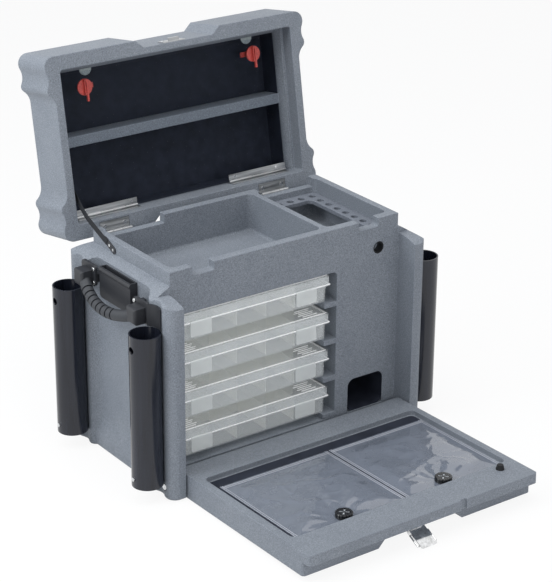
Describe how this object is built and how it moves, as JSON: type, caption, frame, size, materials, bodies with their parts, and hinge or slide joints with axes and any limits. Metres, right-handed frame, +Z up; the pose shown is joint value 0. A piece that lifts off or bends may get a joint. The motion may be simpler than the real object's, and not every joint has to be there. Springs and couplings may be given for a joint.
{
  "type": "fishing tackle cabinet",
  "caption": "Moulded tackle chest with a lift-back lid, clear inner lid door, drop-down front door, slide-out utility trays and rod tubes at its corners.",
  "frame": {"origin": "on the floor, in the middle of the body's plan outline", "axes": "+X to the right along the front, +Y to the back, +Z up; the front door opens towards -Y and the lid leans back over +Y"},
  "size_m": [0.713, 0.9227, 0.7529],
  "materials": {
    "moulded_grey": "satin",
    "tube_black": "gloss",
    "black_plastic": "satin",
    "black_rubber": "matte",
    "knob_black": "gloss",
    "red_plastic": "gloss",
    "clear_sheet": "clear",
    "clear_vinyl": "clear",
    "chrome_plate": "polished",
    "zinc_steel": "brushed",
    "tab_grey": "satin",
    "tray_clear": "frosted"
  },
  "bodies": {
    "base": {"base_shell": "moulded_grey", "hook_rack": "moulded_grey", "grommet": "black_rubber", "door_pivot_bolts": "zinc_steel", "body_screws": "zinc_steel", "lid_hinge_body_leaves": "zinc_steel", "lid_hinge_pins": "zinc_steel", "strap_plate": "zinc_steel", "handle_grip_left": "black_plastic", "handle_grip_right": "black_plastic", "handle_sockets_left": "black_plastic", "handle_sockets_right": "black_plastic", "side_holder_left": "black_plastic", "side_holder_right": "black_plastic", "rod_tube_front_left": "tube_black", "rod_tube_front_right": "tube_black", "rod_tube_rear_left": "tube_black", "rod_tube_rear_right": "tube_black"},
    "lid": {"lid_shell": "moulded_grey", "lid_hinge_lid_leaves": "zinc_steel", "lid_screws": "zinc_steel", "keeper": "chrome_plate", "window_catch_tabs": "tab_grey", "window_hinge_fixed_strips": "zinc_steel", "window_hinge_pins": "zinc_steel", "strap_anchor": "zinc_steel", "lid_strap": "black_rubber"},
    "window": {"window_panel": "clear_sheet", "window_hinge_moving_strips": "zinc_steel", "window_screws": "zinc_steel"},
    "red_knob_l": {"red_knob_left": "red_plastic"},
    "red_knob_r": {"red_knob_right": "red_plastic"},
    "front_door": {"front_door_shell": "moulded_grey", "door_catch_peg": "black_rubber", "bag_left": "clear_vinyl", "bag_right": "clear_vinyl", "bag_knob_studs": "zinc_steel", "latch_base": "chrome_plate", "latch_pin": "chrome_plate"},
    "bag_knob_l": {"bag_knob_left": "knob_black"},
    "bag_knob_r": {"bag_knob_right": "knob_black"},
    "latch_lever_body": {"latch_lever": "chrome_plate"},
    "latch_bail_body": {"latch_bail": "chrome_plate"},
    "tray_1": {"tray_box_1": "tray_clear", "tray_lid_1": "tray_clear", "tray_latches_1": "tray_clear", "tray_dividers_1": "tray_clear"},
    "tray_2": {"tray_box_2": "tray_clear", "tray_lid_2": "tray_clear", "tray_latches_2": "tray_clear", "tray_dividers_2": "tray_clear"},
    "tray_3": {"tray_box_3": "tray_clear", "tray_lid_3": "tray_clear", "tray_latches_3": "tray_clear", "tray_dividers_3": "tray_clear"},
    "tray_4": {"tray_box_4": "tray_clear", "tray_lid_4": "tray_clear", "tray_latches_4": "tray_clear", "tray_dividers_4": "tray_clear"}
  },
  "joints": [
    {"name": "lid_hinge", "type": "hinge", "parent": "base", "child": "lid", "pos_m": [0, 0.1755, 0.405], "axis": [-1, 0, 0], "range_deg": [-99.67, 0], "deforming": ["lid_strap"]},
    {"name": "window_hinge", "type": "hinge", "parent": "lid", "child": "window", "pos_m": [0, 0.22457, 0.42808], "axis": [1, 0, 0], "range_deg": [0, 80]},
    {"name": "red_knob_left_turn", "type": "hinge", "parent": "window", "child": "red_knob_l", "pos_m": [-0.197, 0.2682, 0.67222], "axis": [0, 0.9858, -0.168], "range_deg": [-90, 0]},
    {"name": "red_knob_right_turn", "type": "hinge", "parent": "window", "child": "red_knob_r", "pos_m": [0.197, 0.2682, 0.67222], "axis": [0, -0.9858, 0.168], "range_deg": [-90, 0]},
    {"name": "front_door_hinge", "type": "hinge", "parent": "base", "child": "front_door", "pos_m": [0, -0.1523, 0.0245], "axis": [1, 0, 0], "range_deg": [-88.7, 0]},
    {"name": "bag_knob_left_turn", "type": "hinge", "parent": "front_door", "child": "bag_knob_l", "pos_m": [-0.116, -0.46118, 0.05552], "axis": [0, 0.0227, 0.9997], "continuous": true},
    {"name": "bag_knob_right_turn", "type": "hinge", "parent": "front_door", "child": "bag_knob_r", "pos_m": [0.116, -0.46118, 0.05552], "axis": [0, 0.0227, 0.9997], "continuous": true},
    {"name": "latch_lever_hinge", "type": "hinge", "parent": "front_door", "child": "latch_lever_body", "pos_m": [-0.008, -0.53256, 0.01713], "axis": [-1, 0, 0], "range_deg": [-153, 0]},
    {"name": "latch_bail_hinge", "type": "hinge", "parent": "latch_lever_body", "child": "latch_bail_body", "pos_m": [-0.008, -0.54223, 0.01414], "axis": [-1, 0, 0], "range_deg": [-175.6, 0]},
    {"name": "tray_1_slide", "type": "slide", "parent": "base", "child": "tray_1", "axis": [0, -1, 0], "range_m": [0, 0.15]},
    {"name": "tray_2_slide", "type": "slide", "parent": "base", "child": "tray_2", "axis": [0, -1, 0], "range_m": [0, 0.15]},
    {"name": "tray_3_slide", "type": "slide", "parent": "base", "child": "tray_3", "axis": [0, -1, 0], "range_m": [0, 0.15]},
    {"name": "tray_4_slide", "type": "slide", "parent": "base", "child": "tray_4", "axis": [0, -1, 0], "range_m": [0, 0.15]}
  ]
}
